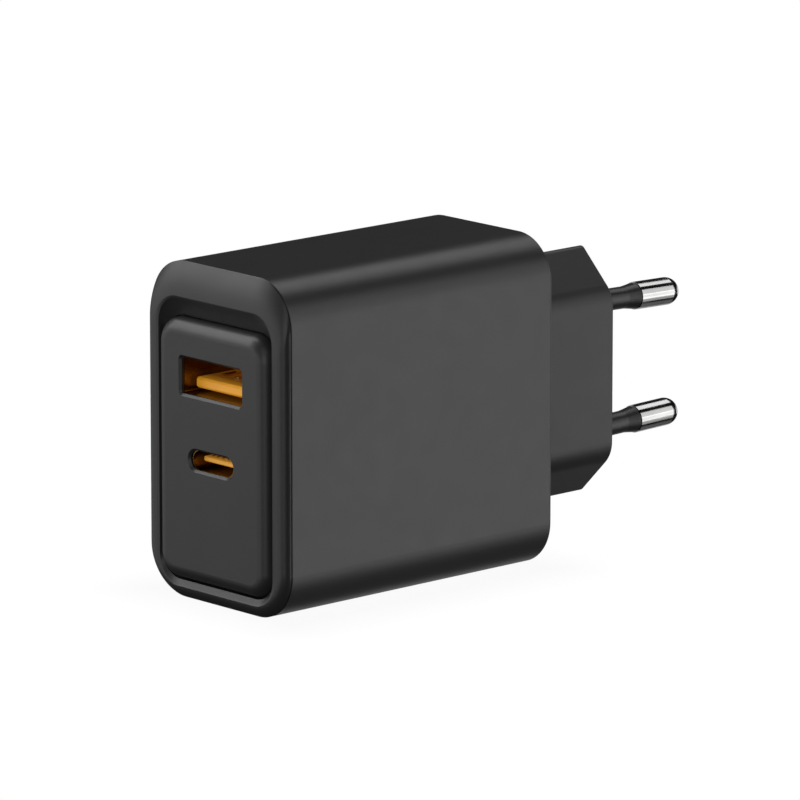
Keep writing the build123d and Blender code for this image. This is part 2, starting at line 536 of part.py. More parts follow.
tongue_half, tongue_rise = USB_C_TONGUE[0] / 2, USB_C_TONGUE[1] / 2
plate_half, plate_rise = 2.9, 0.08
with BuildPart() as usb_c_tongue:
    block(-tongue_half, tongue_half, USB_C_TONGUE_FRONT, USB_C_BLOCK + 0.2, USB_C_Z - tongue_rise,
          USB_C_Z + tongue_rise)
    chamfer(usb_c_tongue.edges().filter_by(Axis.X).group_by(Axis.Y)[0], 0.15)
    with BuildSketch(section(USB_C_BLOCK, USB_C_Z)):
        SlotOverall(USB_C_SHELL[0] - 0.7, USB_C_SHELL[1] - 0.7)
    extrude(amount=USB_C_BLOCK - SHELL_REAR)
    block(-plate_half, plate_half, USB_C_TONGUE_FRONT + 0.6, SHELL_REAR + 1, USB_C_Z - plate_rise,
          USB_C_Z + plate_rise, mode=Mode.SUBTRACT)
    for x, z in USB_C_LEADS:
        block(x - USB_C_SLOT, x + USB_C_SLOT, USB_C_BLOCK - 0.1, PORT_BOARD_Y,
              USB_C_Z + z - USB_C_SLOT, USB_C_Z + z + USB_C_SLOT, mode=Mode.SUBTRACT)
save(usb_c_tongue.part, "usb_c_tongue")

with BuildPart() as usb_c_midplate:
    block(-plate_half + SLIP, plate_half - SLIP, USB_C_TONGUE_FRONT + 0.6 + SLIP, SHELL_REAR,
          USB_C_Z - plate_rise + 0.01, USB_C_Z + plate_rise - 0.01)
save(usb_c_midplate.part, "usb_c_midplate")

with BuildPart() as usb_c_contacts:
    for x, z in USB_C_LEADS:
        side = 1 if z > 0 else -1
        z0, z1 = sorted((USB_C_Z + side * tongue_rise, USB_C_Z + side * (tongue_rise + 0.1)))
        block(x - USB_C_CONTACT, x + USB_C_CONTACT, USB_C_TONGUE_FRONT + 0.7, USB_C_BLOCK + BURY,
              z0, z1)
        z0, z1 = sorted((USB_C_Z + side * (tongue_rise + 0.02), USB_C_Z + side * (tongue_rise + 0.3)))
        block(x - USB_C_CONTACT, x + USB_C_CONTACT, USB_C_BLOCK, PORT_BOARD_BACK + TAIL, z0, z1)
save(usb_c_contacts.part, "usb_c_contacts")

# ================================================================ transformer
CORE_Z, CORE_X, CORE_Y, CORE_LEG = 19.0, 15.6, 5.4, 4.2
CORE_BASE = SEAT + 1.0
CORE_TOP = CORE_BASE + CORE_X
y, z = TRANSFORMER
with BuildPart() as transformer_core:
    block(CORE_BASE, CORE_TOP, y - CORE_Y / 2, y + CORE_Y / 2, z - CORE_Z / 2, z + CORE_Z / 2)
    for side in (-1, 1):
        z0, z1 = sorted((z + side * CORE_LEG / 2, z + side * (CORE_Z / 2 - CORE_LEG / 2)))
        block(CORE_BASE + 2.2, CORE_TOP - 2.2, y - CORE_Y, y + CORE_Y, z0, z1, mode=Mode.SUBTRACT)
save(transformer_core.part, "transformer_core")

SPOOL = 0.5
leg_y, leg_z = CORE_Y / 2 + 0.08, CORE_LEG / 2 + 0.08
x0, x1 = CORE_BASE + 2.2 + 0.05, CORE_TOP - 2.2 - 0.05
flange_y, flange_z = 6.4, CORE_Z / 2 - CORE_LEG / 2 - 0.1
with BuildPart() as transformer_bobbin:
    block(x0, x1, y - leg_y - SPOOL, y + leg_y + SPOOL, z - leg_z - SPOOL, z + leg_z + SPOOL)
    for low in (x0, x1 - 0.7):
        block(low, low + 0.7, y - flange_y, y + flange_y, z - flange_z, z + flange_z)
    block(x0 - 1, x1 + 1, y - leg_y, y + leg_y, z - leg_z, z + leg_z, mode=Mode.SUBTRACT)
    # pin rails under the front and rear of the coil
    for side in (-1, 1):
        y0, y1 = sorted((y + side * (CORE_Y / 2 + 0.15), y + side * flange_y))
        block(SEAT, x0 + 0.1, y0, y1, z - flange_z, z + flange_z)
    with BuildSketch(board_plane(SEAT - 1)):
        with Locations(*LEADS["transformer"]):
            Circle(LEAD + 0.03)
    extrude(amount=2.5, mode=Mode.SUBTRACT)
save(transformer_bobbin.part, "transformer_bobbin")

with BuildPart() as transformer_pins:
    leads(LEADS["transformer"], top=SEAT + 1.2)
save(transformer_pins.part, "transformer_pins")

with BuildPart() as transformer_winding:
    with BuildSketch(board_plane(x0 + 0.75)):
        with Locations(TRANSFORMER):
            RectangleRounded(2 * flange_y - 0.6, 2 * flange_z - 0.4, 2.4)
            Rectangle(2 * (leg_y + SPOOL) + 0.1, 2 * (leg_z + SPOOL) + 0.1, mode=Mode.SUBTRACT)
    extrude(amount=x1 - x0 - 1.5)
save(transformer_winding.part, "transformer_winding")

# ================================================================ other parts on the main board


def box_component(name, place, size, points, edge=0.4, seat=SEAT):
    """A moulded box with round leads. Size is (along y, along z, height above the board)."""
    with BuildPart() as component:
        with BuildSketch(board_plane(seat)) as foot:
            with Locations(place):
                Rectangle(size[0], size[1])
        extrude(foot.sketch, amount=size[2])
        fillet(component.edges(), edge)
        if points:
            leads(points, top=seat + edge)
    save(component.part, name)


def disc_component(name, place, radius, thickness, points):
    """A coated disc standing on two leads."""
    centre = BOARD_TOP + 1.3 + radius
    with BuildPart() as component:
        near_face = (centre, place[0] - thickness / 2, place[1])
        with BuildSketch(Plane(origin=near_face, x_dir=(1, 0, 0), z_dir=(0, 1, 0))):
            Circle(radius)
        extrude(amount=thickness)
        fillet(component.edges(), thickness * 0.4)
        leads(points, top=centre - radius / 2)
    save(component.part, name)


def can_component(name, place, radius, height, points):
    """A capacitor can with a crimped groove above its rubber base and a rounded top edge."""
    frame = Plane(origin=(SEAT, *place), x_dir=(0, 1, 0), z_dir=(0, 0, 1))
    with BuildPart() as component:
        with BuildSketch(frame) as profile:
            with BuildLine():
                Polyline((0, 0), (radius, 0), (radius, -1.2), (radius - 0.4, -1.7), (radius, -2.2),
                         (radius, 0.6 - height), (radius - 0.6, -height), (0, -height), close=True)
            make_face()
        revolve(profile.sketch, axis=Axis(frame.origin, frame.y_dir))
        leads(points, top=SEAT)
    save(component.part, name)


box_component("fuse", FUSE, (4.0, 7.4, 7.6), LEADS["fuse"])
box_component("x_capacitor", X_CAPACITOR, (5.8, 11.0, 11.5), LEADS["x_capacitor"], edge=0.5)
box_component("bridge_rectifier", BRIDGE, (3.4, 14.6, 10.4), LEADS["bridge"], edge=0.3)
box_component("optocoupler", OPTOCOUPLER, (4.6, 6.6, 3.4), LEADS["opto"], edge=0.25)
disc_component("thermistor", THERMISTOR, 3.6, 3.0, LEADS["thermistor"])
disc_component("y_capacitor", Y_CAPACITOR, 3.5, 3.2, LEADS["y_capacitor"])
can_component("upper_bulk_capacitor", UPPER_BULK, 4.9, 17.6, LEADS["upper_bulk"])
can_component("lower_bulk_capacitor", LOWER_BULK, 4.9, 17.6, LEADS["lower_bulk"])
can_component("output_capacitor", OUTPUT_CAPACITOR, 3.1, 8.6, LEADS["output"])

# common-mode choke: a ring core standing on edge, with a winding on each half
CHOKE_R, CHOKE_BORE, CHOKE_THICK = 5.2, 2.6, 4.2
choke_x = SEAT + 0.9 + CHOKE_R
choke_face = (choke_x, CHOKE[0] - CHOKE_THICK / 2, CHOKE[1])
choke_plane = Plane(origin=choke_face, x_dir=(1, 0, 0), z_dir=(0, 1, 0))
with BuildPart() as choke_core:
    with BuildSketch(choke_plane):
        Circle(CHOKE_R)
        Circle(CHOKE_BORE, mode=Mode.SUBTRACT)
    extrude(amount=CHOKE_THICK)
    fillet(choke_core.edges(), 0.4)
save(choke_core.part, "choke_core")

WIRE = 0.6
with BuildPart() as choke_windings:
    with BuildSketch(choke_plane.offset(-WIRE - 0.05)):
        Circle(CHOKE_R + WIRE)
        Circle(CHOKE_BORE - WIRE, mode=Mode.SUBTRACT)
        Rectangle(3 * CHOKE_R, 2.2, mode=Mode.SUBTRACT)
    extrude(amount=CHOKE_THICK + 2 * WIRE + 0.1)
    with BuildSketch(choke_plane.offset(-0.05)):
        Circle(CHOKE_R + 0.05)
        Circle(CHOKE_BORE - 0.05, mode=Mode.SUBTRACT)
    extrude(amount=CHOKE_THICK + 0.1, mode=Mode.SUBTRACT)
    leads(LEADS["choke"], top=SEAT + 2.2)
save(choke_windings.part, "choke_windings")


def chip(name, plane, centre, size):
    """A flat moulded chip with a terminal row down each long side, lying on a board's face."""
    length, width, height = size
    with BuildPart() as package:
        with BuildSketch(plane) as body:
            with Locations(centre):
                RectangleRounded(length, width, 0.15)
        extrude(body.sketch, amount=height)
        with BuildSketch(plane) as terminals:
            with Locations(centre):
                with GridLocations(1.27, width + 0.5, max(int(length / 1.27), 1), 2):
                    Rectangle(0.45, 1.1)
        extrude(terminals.sketch, amount=0.2)
    save(package.part, name)


solder_face = Plane(origin=(MAIN_BOARD_X - 0.02, 0, 0), x_dir=(0, 1, 0), z_dir=(-1, 0, 0))
chip("controller_ic", solder_face, (7.7, -20.0), (4.4, 4.0, 1.3))
chip("switch_transistor", solder_face, (6.3, -36.6), (6.0, 5.4, 1.1))
chip("rectifier_transistor", solder_face, (-1.3, -34.0), (5.0, 5.0, 1.1))
port_back = Plane(origin=(0, PORT_BOARD_BACK + 0.02, 0), x_dir=(1, 0, 0), z_dir=(0, 1, 0))
chip("port_controller_ic", port_back, (0.5, -25.6), (4.0, 4.0, 0.9))
chip("usb_a_switch", port_back, (0.0, -34.6), (3.2, 3.0, 0.9))
chip("usb_c_switch", port_back, (0.0, -15.2), (3.2, 3.0, 0.9))

for side, name in ((-1, "left"), (1, "right")):
    with BuildPart() as port_capacitor:
        with BuildSketch(section(PORT_BOARD_Y - 0.02)):
            with Locations((side * PORT_CAPACITOR_X, PORT_CAPACITOR_Z - MID)):
                Rectangle(5.4, 5.4)
        extrude(amount=0.8)
        with BuildSketch(section(PORT_BOARD_Y - 0.5)):
            with Locations((side * PORT_CAPACITOR_X, PORT_CAPACITOR_Z - MID)):
                Circle(2.5)
        extrude(amount=5.2)
        fillet(port_capacitor.faces().sort_by(Axis.Y)[0].edges(), 0.4)
    save(port_capacitor.part, f"{name}_port_capacitor")
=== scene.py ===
"""Looks for a two-port USB wall charger with a European mains plug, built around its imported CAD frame.

Metres, but the materials' textures are laid in millimetres. +Z is up, the ports face -Y and the mains
pins point along +Y. Every CAD node keeps its own shape and gets a procedural material. The choke's wire,
which stands for one CAD node, and the solder joints are built here.
"""

import json
from math import copysign, cos, pi, radians, sin

import bmesh
import bpy
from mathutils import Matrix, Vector


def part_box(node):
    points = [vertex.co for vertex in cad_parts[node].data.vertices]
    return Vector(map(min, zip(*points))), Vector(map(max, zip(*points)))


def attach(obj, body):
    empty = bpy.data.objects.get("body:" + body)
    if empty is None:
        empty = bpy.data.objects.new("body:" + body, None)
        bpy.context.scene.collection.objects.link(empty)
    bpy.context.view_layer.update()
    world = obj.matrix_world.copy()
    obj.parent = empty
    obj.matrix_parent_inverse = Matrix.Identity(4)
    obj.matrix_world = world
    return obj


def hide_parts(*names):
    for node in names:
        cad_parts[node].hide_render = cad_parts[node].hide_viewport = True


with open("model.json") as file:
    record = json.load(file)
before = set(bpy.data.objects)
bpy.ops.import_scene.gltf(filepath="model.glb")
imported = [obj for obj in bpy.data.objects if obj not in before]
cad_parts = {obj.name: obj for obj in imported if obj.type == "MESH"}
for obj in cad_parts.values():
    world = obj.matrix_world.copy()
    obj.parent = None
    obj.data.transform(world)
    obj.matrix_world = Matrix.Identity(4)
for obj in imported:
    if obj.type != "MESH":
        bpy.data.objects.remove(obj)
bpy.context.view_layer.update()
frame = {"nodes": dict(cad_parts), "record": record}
nodes = frame["nodes"]

MM = 0.001

# ---------------------------------------------------------------- camera
CAMERA_AIM = Vector((0.0040, 0.0049, 0.0253))
CAMERA_AZIMUTH, CAMERA_ELEVATION = radians(47.68), radians(12.51)
CAMERA_DISTANCE = 1.0511
CAMERA_LENS, CAMERA_SENSOR = 341.3, 36.0  # mm
CAMERA_CLIP = (0.05, 20.0)


def direction(azimuth, elevation):
    """Unit vector towards that azimuth and elevation, in radians. Azimuth 0 is -Y and pi / 2 is +X."""
    level = cos(elevation)
    return Vector((sin(azimuth) * level, -cos(azimuth) * level, sin(elevation)))


def add_camera():
    data = bpy.data.cameras.new("camera")
    data.lens = CAMERA_LENS
    data.sensor_width = CAMERA_SENSOR
    data.clip_start, data.clip_end = CAMERA_CLIP
    camera = bpy.data.objects.new("camera", data)
    back = direction(CAMERA_AZIMUTH, CAMERA_ELEVATION)
    camera.location = CAMERA_AIM + back * CAMERA_DISTANCE
    camera.rotation_mode = "QUATERNION"
    camera.rotation_quaternion = (-back).to_track_quat("-Z", "Y")
    bpy.context.scene.collection.objects.link(camera)
    bpy.context.scene.camera = camera


add_camera()

# ---------------------------------------------------------------- procedural materials
MIX_COLORS, MIX_RESULT = (6, 7), 2  # a Mix node's colour inputs and its colour output
WAVE_SCALE = pi / 10  # with this scale, a wave texture repeats once per unit


class Look:
    """One procedural material. Its textures are laid in the charger's own coordinates, in millimetres."""

    def __init__(self, name, color, roughness, **sockets):
        self.material = bpy.data.materials.new(name)
        self.material.use_nodes = True
        self.tree = self.material.node_tree
        self.shader = self.tree.nodes["Principled BSDF"]
        self.place = self.node("ShaderNodeTexCoord").outputs["Object"]
        self.bumps = None
        self.shader.inputs["Base Color"].default_value = (*color, 1)
        self.shader.inputs["Roughness"].default_value = roughness
        for socket, value in sockets.items():
            self.shader.inputs[socket.replace("_", " ")].default_value = value

    def node(self, kind, **settings):
        made = self.tree.nodes.new(kind)
        for key, value in settings.items():
            setattr(made, key, value)
        return made

    def feed(self, socket, value):
        """Sets a socket to a number or a colour, or links it to another node's output."""
        if isinstance(value, bpy.types.NodeSocket):
            self.tree.links.new(value, socket)
        else:
            socket.default_value = value

    def at(self, size, stretch=(1, 1, 1)):
        """The charger's coordinates, in units of that many millimetres times each axis's stretch."""
        mapping = self.node("ShaderNodeMapping")
        self.feed(mapping.inputs["Vector"], self.place)
        mapping.inputs["Scale"].default_value = [1 / (size * part * MM) for part in stretch]
        return mapping.outputs["Vector"]

    def noise(self, size, detail=3.0, stretch=(1, 1, 1), bend=0.0):
        """Clouds about that many millimetres across."""
        made = self.node("ShaderNodeTexNoise")
        self.feed(made.inputs["Vector"], self.at(size, stretch))
        made.inputs["Scale"].default_value = 1.0
        made.inputs["Detail"].default_value = detail
        made.inputs["Distortion"].default_value = bend
        return made.outputs["Fac"]

    def bands(self, size, axis, bend=0.0):
        """Soft stripes, one every that many millimetres along an axis."""
        made = self.node("ShaderNodeTexWave", wave_type="BANDS", bands_direction=axis)
        self.feed(made.inputs["Vector"], self.at(size))
        made.inputs["Scale"].default_value = WAVE_SCALE
        made.inputs["Distortion"].default_value = bend
        return made.outputs["Fac"]

    def cells(self, size, metric="EUCLIDEAN", uneven=1.0):
        """Distance from the middles of cells that many millimetres across, as a share of that size."""
        made = self.node("ShaderNodeTexVoronoi", distance=metric)
        self.feed(made.inputs["Vector"], self.at(size))
        made.inputs["Scale"].default_value = 1.0
        made.inputs["Randomness"].default_value = uneven
        return made.outputs["Distance"]

    def span(self, value, low, high, start=0.0, end=1.0):
        """Maps low..high onto start..end, and holds the ends."""
        made = self.node("ShaderNodeMapRange")
        self.feed(made.inputs["Value"], value)
        for socket, number in zip(("From Min", "From Max", "To Min", "To Max"), (low, high, start, end)):
            made.inputs[socket].default_value = number
        return made.outputs["Result"]

    def math(self, operation, *values):
        made = self.node("ShaderNodeMath", operation=operation)
        for socket, value in zip(made.inputs, values):
            self.feed(socket, value)
        return made.outputs["Value"]

    def distance(self, across, along):
        """The length of a line that goes so far across and so far along."""
        squares = [self.math("MULTIPLY", part, part) for part in (across, along)]
        return self.math("SQRT", self.math("ADD", *squares))

    def along(self, axis):
        """Position along an axis, in millimetres."""
        split = self.node("ShaderNodeSeparateXYZ")
        self.feed(split.inputs["Vector"], self.at(1))
        return split.outputs[axis]

    def blend(self, factor, first, second):
        """Goes from the first colour to the second as the factor goes from 0 to 1."""
        made = self.node("ShaderNodeMix", data_type="RGBA")
        self.feed(made.inputs["Factor"], factor)
        for socket, color in zip(MIX_COLORS, (first, second)):
            self.feed(made.inputs[socket], (*color, 1) if isinstance(color, tuple) else color)
        return made.outputs[MIX_RESULT]

    def color(self, value):
        self.feed(self.shader.inputs["Base Color"], value)

    def rough(self, value):
        self.feed(self.shader.inputs["Roughness"], value)

    def metal(self, value):
        self.feed(self.shader.inputs["Metallic"], value)

    def bump(self, height, depth, strength):
        """Raises the surface by up to that many millimetres, on top of any earlier bump."""
        made = self.node("ShaderNodeBump")
        made.inputs["Strength"].default_value = strength
        made.inputs["Distance"].default_value = depth * MM
        self.feed(made.inputs["Height"], height)
        if self.bumps is not None:
            self.feed(made.inputs["Normal"], self.bumps)
        self.bumps = made.outputs["Normal"]
        self.feed(self.shader.inputs["Normal"], self.bumps)


# ---------------------------------------------------------------- floor and light
LIGHT_DISTANCE = 0.9
FLOOR_REACH = 6.0
AMBIENT = 0.01  # strength of the backdrop's light on the charger
PAINTED_CONTACT_SHADOW = 0.05  # share of the floor's glow taken away where the charger stands, a painted contact shadow
CONTACT_REACH = 9.0  # mm over which that painted shadow fades out
# name: azimuth and elevation in degrees, width and height in metres, radiance
SOFTBOXES = {
    "side_low": (132, -24, 0.46, 0.36, 0.75),
    "side": (132, -6, 0.46, 0.46, 2.16),
    "side_high": (134, 20, 0.46, 0.46, 1.50),
    "front": (345, -8, 0.46, 0.46, 1.20),
    "near": (28, 2, 0.46, 0.46, 1.80),
    "near_high": (36, 34, 0.46, 0.46, 0.90),
    "right_high": (90, 48, 0.46, 0.46, 0.70),
    "left": (312, -4, 0.46, 0.40, 1.04),
    "left_low": (282, -8, 0.46, 0.46, 0.50),
    "left_middle": (306, 23, 0.46, 0.46, 3.15),
    "left_high": (290, 51, 0.46, 0.56, 3.40),
    "back_high": (192, 51, 0.46, 0.40, 1.90),
    "back": (226, 10, 0.90, 0.50, 0.02),
    "back_low": (222, -28, 0.46, 0.46, 0.50),
    "pins_low": (180, -47, 1.00, 0.12, 0.22),
    "pins_end": (190, -6, 0.46, 0.30, 1.00),
}


def softbox(name, azimuth, elevation, width, height, radiance):
    """A rectangular area light that faces the charger from that direction, in degrees."""
    data = bpy.data.lights.new(name, "AREA")
    data.shape = "RECTANGLE"
    data.size, data.size_y = width, height
    data.energy = radiance * pi * width * height
    light = bpy.data.objects.new(name, data)
    towards = direction(radians(azimuth), radians(elevation))
    light.location = CAMERA_AIM + towards * LIGHT_DISTANCE
    light.rotation_mode = "QUATERNION"
    light.rotation_quaternion = towards.to_track_quat("Z", "Y")
    light.visible_camera = False
    bpy.context.scene.collection.objects.link(light)


def add_floor():
    """A white glowing floor with a faint painted shadow round the charger's foot. It shows, but casts no
    light.
    """
    corners = [(x * FLOOR_REACH, y * FLOOR_REACH, 0) for x, y in ((-1, -1), (1, -1), (1, 1), (-1, 1))]
    mesh = bpy.data.meshes.new("floor")
    mesh.from_pydata(corners, [], [(0, 1, 2, 3)])
    floor = bpy.data.objects.new("floor", mesh)
    bpy.context.scene.collection.objects.link(floor)
    floor.visible_diffuse = False
    floor.visible_glossy = False
    floor.visible_transmission = False
    floor.visible_shadow = False
    made = Look("floor", (0, 0, 0), 1.0, Specular_IOR_Level=0.0)
    made.shader.inputs["Emission Strength"].default_value = 1.0
    # painted contact shadow: the floor's glow darkens towards the housing's footprint
    low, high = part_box("main_housing")
    gaps = []
    for axis, middle, half in zip("XY", (low + high) / 2, (high - low) / 2):
        offset = made.math("ABSOLUTE", made.math("SUBTRACT", made.along(axis), middle / MM))
        gaps.append(made.math("MAXIMUM", made.math("SUBTRACT", offset, half / MM), 0.0))
    shade = made.span(made.distance(*gaps), 0.0, CONTACT_REACH, PAINTED_CONTACT_SHADOW, 0.0)
    white = made.blend(shade, (1.0, 1.0, 1.0), (0.0, 0.0, 0.0))
    made.feed(made.shader.inputs["Emission Color"], white)
    mesh.materials.append(made.material)


def add_world():
    """A backdrop as white as the floor, which lights the charger with only the ambient strength."""
    world = bpy.data.worlds.new("studio")
    bpy.context.scene.world = world
    world.use_nodes = True
    tree = world.node_tree
    background = tree.nodes["Background"]
    background.inputs["Color"].default_value = (1, 1, 1, 1)
    path = tree.nodes.new("ShaderNodeLightPath")
    # full strength where the camera sees the backdrop, and the ambient strength everywhere else
    strength = tree.nodes.new("ShaderNodeMath")
    strength.operation = "MULTIPLY_ADD"
    strength.inputs[1].default_value = 1 - AMBIENT
    strength.inputs[2].default_value = AMBIENT
    tree.links.new(path.outputs["Is Camera Ray"], strength.inputs[0])
    tree.links.new(strength.outputs["Value"], background.inputs["Strength"])


add_world()
add_floor()
for name, setting in SOFTBOXES.items():
    softbox(name, *setting)
bpy.context.scene.view_settings.view_transform = "Standard"


# ---------------------------------------------------------------- the charger's materials
BLACK = (0.030, 0.030, 0.031)
# the first colour here is what a tongue is darkened towards deep in its port, as painted shade
TONGUE_PAINTED_SHADE, TONGUE_ROUGHNESS = (0.36, 0.12, 0.01), 0.35
TONGUE_SHADE_FADE = 2.6  # mm over which the painted shade darkens a tongue behind its front edge
CAN_RIM = 0.9  # mm that a capacitor's sleeve reaches in over its top


def tones(color, low, high=1.0):
    """Two tones of that colour, scaled by those two factors."""
    return tuple(low * part for part in color), tuple(high * part for part in color)


def moulded(name, color, roughness, grain, depth):
    """Moulded black plastic: spark-eroded grain, faint flow marks, handling haze and hairline scuffs."""
    made = Look(name, color, roughness)
    flow = made.noise(9.0, 2.0, stretch=(1, 2.2, 1))
    haze = made.noise(3.0, 4.0)
    made.color(made.blend(made.span(flow, 0.35, 0.65), *tones(color, 0.96, 1.04)))
    scuff = made.span(made.noise(0.5, 2.0, stretch=(1, 26, 1), bend=0.4), 0.70, 0.74, 0.0, 0.03)
    hazy = made.span(haze, 0.3, 0.7, roughness - 0.01, roughness + 0.012)
    made.rough(made.math("ADD", hazy, scuff))
    made.bump(made.cells(grain), depth, 0.5)
    made.bump(made.noise(grain * 2.4, 3.0), depth * 1.5, 0.5)
    return made.material


def plated(name, color, roughness, axis="Y", lines=0.12):
    """Bright metal: fine drawn or turned lines that far apart, slight clouding and small scratches."""
    made = Look(name, color, roughness, Metallic=1.0)
    cloud = made.noise(2.6, 4.0)
    made.color(made.blend(made.span(cloud, 0.35, 0.7), *tones(color, 0.88)))
    scratch = made.span(made.noise(0.35, 2.0, stretch=(1, 12, 1), bend=0.5), 0.62, 0.7, 0.0, 0.1)
    clouded = made.span(cloud, 0.3, 0.7, 0.85 * roughness, 1.25 * roughness)
    made.rough(made.math("ADD", clouded, scratch))
    made.bump(made.bands(lines, axis, 0.4), 0.0003, 0.3)
    return made.material


def rolled(name, color, roughness, stretch=(1, 14, 1)):
    """Rolled or stamped sheet metal, with grain along the rolling direction and smudges."""
    made = Look(name, color, roughness, Metallic=1.0)
    grain = made.noise(0.16, 3.0, stretch=stretch)
    smudge = made.noise(1.8, 3.0)
    made.color(made.blend(made.span(smudge, 0.3, 0.75), *tones(color, 0.72)))
    made.rough(made.span(grain, 0.3, 0.7, roughness - 0.07, roughness + 0.08))
    made.bump(grain, 0.002, 0.6)
    return made.material


def cast(name, color, roughness, specks, depth, tone=0.2, **sockets):
    """A moulded, dipped or sintered body: colour mottled at two sizes and a slightly uneven surface."""
    made = Look(name, color, roughness, **sockets)
    mottle = made.math("MULTIPLY", made.noise(specks, 3.0), made.noise(specks * 9, 2.0))
    made.color(made.blend(made.span(mottle, 0.15, 0.38), *tones(color, 1 - tone, 1 + tone)))
    made.rough(made.span(made.noise(specks * 4, 3.0), 0.3, 0.7, roughness - 0.05, roughness + 0.07))
    made.bump(made.noise(specks, 4.0), depth, 0.6)
    return made.material


def tongue_resin(name, color, painted_glow, node_name):
    """Glossy coloured resin of a port's tongue: a little translucent, with a painted glow, and darker
    behind its front edge as painted shade.
    """
    # painted glow: the resin gives off light in its own shaded colour, though it is no lamp
    made = Look(name, color, TONGUE_ROUGHNESS, Emission_Strength=painted_glow)
    made.shader.inputs["Subsurface Weight"].default_value = 0.15
    made.shader.inputs["Subsurface Scale"].default_value = 0.4 * MM
    made.shader.inputs["Subsurface Radius"].default_value = (1.0, 0.45, 0.1)
    flow = made.span(made.noise(1.6, 3.0, stretch=(2.2, 1, 1)), 0.3, 0.7, -0.15, 0.15)
    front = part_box(node_name)[0].y / MM
    # painted shade: the colour darkens from the front edge inwards, with real flow marks mixed in
    depth = made.span(made.along("Y"), front, front + TONGUE_SHADE_FADE)
    shade = made.blend(made.math("ADD", depth, flow), color, TONGUE_PAINTED_SHADE)
    made.color(shade)
    made.feed(made.shader.inputs["Emission Color"], shade)
    smear = made.noise(0.5, 3.0)
    made.rough(made.span(smear, 0.3, 0.7, TONGUE_ROUGHNESS - 0.05, TONGUE_ROUGHNESS + 0.07))
    made.bump(made.noise(0.14, 2.0), 0.002, 0.5)
    return made.material


def laminate():
    """Green solder mask over copper tracks and pours, and the weave of the glass beneath."""
    mask, track, ground = (0.010, 0.105, 0.040), (0.022, 0.190, 0.070), (0.012, 0.125, 0.048)
    made = Look("board_laminate", mask, 0.3, Coat_Weight=0.4, Coat_Roughness=0.15)
    street = made.math("MULTIPLY", made.cells(2.4, "CHEBYCHEV", 0.85), 3.0)
    line = made.math("COMPARE", made.math("FRACT", street), 0.5, 0.17)
    pour = made.span(made.cells(7.0, "MANHATTAN"), 0.52, 0.54)
    made.color(made.blend(line, made.blend(pour, mask, ground), track))
    weave = made.math("ADD", made.bands(0.55, "Y"), made.bands(0.55, "Z"))
    made.rough(made.span(made.noise(1.4, 3.0), 0.3, 0.7, 0.24, 0.36))
    made.bump(weave, 0.003, 0.4)
    made.bump(line, 0.03, 0.6)
    return made.material


def tape():
    """Yellow polyester tape in overlapping turns, with the copper beneath showing through a little."""
    color, deep = (0.78, 0.55, 0.05), (0.52, 0.27, 0.03)
    made = Look("winding_tape", color, 0.2, Coat_Weight=0.6, Coat_Roughness=0.08)
    turns = made.bands(0.42, "X", 0.6)
    wrinkle = made.noise(1.1, 3.0, stretch=(3, 1, 1))
    made.color(made.blend(made.span(turns, 0.2, 0.9, 0.0, 0.45), color, deep))
    made.rough(made.span(wrinkle, 0.3, 0.7, 0.14, 0.3))
    made.bump(turns, 0.02, 0.5)
    made.bump(wrinkle, 0.03, 0.5)
    return made.material


def paper():
    """Fibrous insulation sheet."""
    color, deep = (0.66, 0.63, 0.52), (0.50, 0.46, 0.36)
    made = Look("fish_paper", color, 0.75)
    fibre = made.noise(0.14, 3.0, stretch=(1, 7, 1), bend=1.0)
    cross = made.noise(0.14, 3.0, stretch=(1, 1, 7), bend=1.0)
    both = made.math("MAXIMUM", fibre, cross)
    made.color(made.blend(made.span(both, 0.45, 0.75), deep, color))
    made.rough(made.span(both, 0.4, 0.8, 0.65, 0.85))
    made.bump(both, 0.02, 0.7)
    return made.material


def can_sleeve():
    """Shrink sleeve on the two bulk capacitors: a pale stripe on the outer side and a bare scored top."""
    low, high = (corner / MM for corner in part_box("upper_bulk_capacitor"))
    centre, radius = (low + high) / 2, (high.z - low.z) / 2
    housing_middle = sum(corner.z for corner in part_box("main_housing")) / 2 / MM
    made = Look("can_sleeve", (0.03, 0.03, 0.035), 0.3)
    # out and side run from each can's own centre line, and out points away from the housing's middle
    up = made.math("ABSOLUTE", made.math("SUBTRACT", made.along("Z"), housing_middle))
    out = made.math("SUBTRACT", up, centre.z - housing_middle)
    side = made.math("SUBTRACT", made.along("Y"), centre.y)
    stripe = made.span(out, 0.86 * radius, 0.87 * radius)
    printed = made.blend(stripe, (0.018, 0.02, 0.03), (0.42, 0.42, 0.40))
    within_rim = made.span(made.distance(out, side), radius - CAN_RIM - 0.05, radius - CAN_RIM, 1.0, 0.0)
    near_top = made.span(made.along("X"), high.x - 0.5, high.x - 0.3)
    bare = made.math("MULTIPLY", within_rim, near_top)
    brushed = made.noise(0.12, 3.0, stretch=(1, 1, 10))
    made.color(made.blend(bare, printed, (0.66, 0.67, 0.68)))
    made.metal(bare)
    extra = made.span(bare, 0.0, 1.0, 0.0, 0.06)
    made.rough(made.math("ADD", made.span(brushed, 0.3, 0.7, 0.24, 0.34), extra))
    score = made.math("MINIMUM", made.math("ABSOLUTE", out), made.math("ABSOLUTE", side))
    made.bump(made.math("MULTIPLY", made.span(score, 0.12, 0.3, 1.0, 0.0), bare), 0.12, 0.9)
    made.bump(made.noise(0.9, 3.0), 0.012, 0.5)
    return made.material


def resin():
    """Chip moulding compound, with a fine matt texture."""
    made = Look("chip_resin", (0.022, 0.022, 0.024), 0.5)
    grit = made.noise(0.07, 3.0)
    dark, light = (0.018, 0.018, 0.020), (0.034, 0.034, 0.036)
    made.color(made.blend(made.span(grit, 0.35, 0.7), dark, light))
    made.rough(made.span(made.noise(0.8, 3.0), 0.3, 0.7, 0.42, 0.58))
    made.bump(grit, 0.006, 0.7)
    return made.material


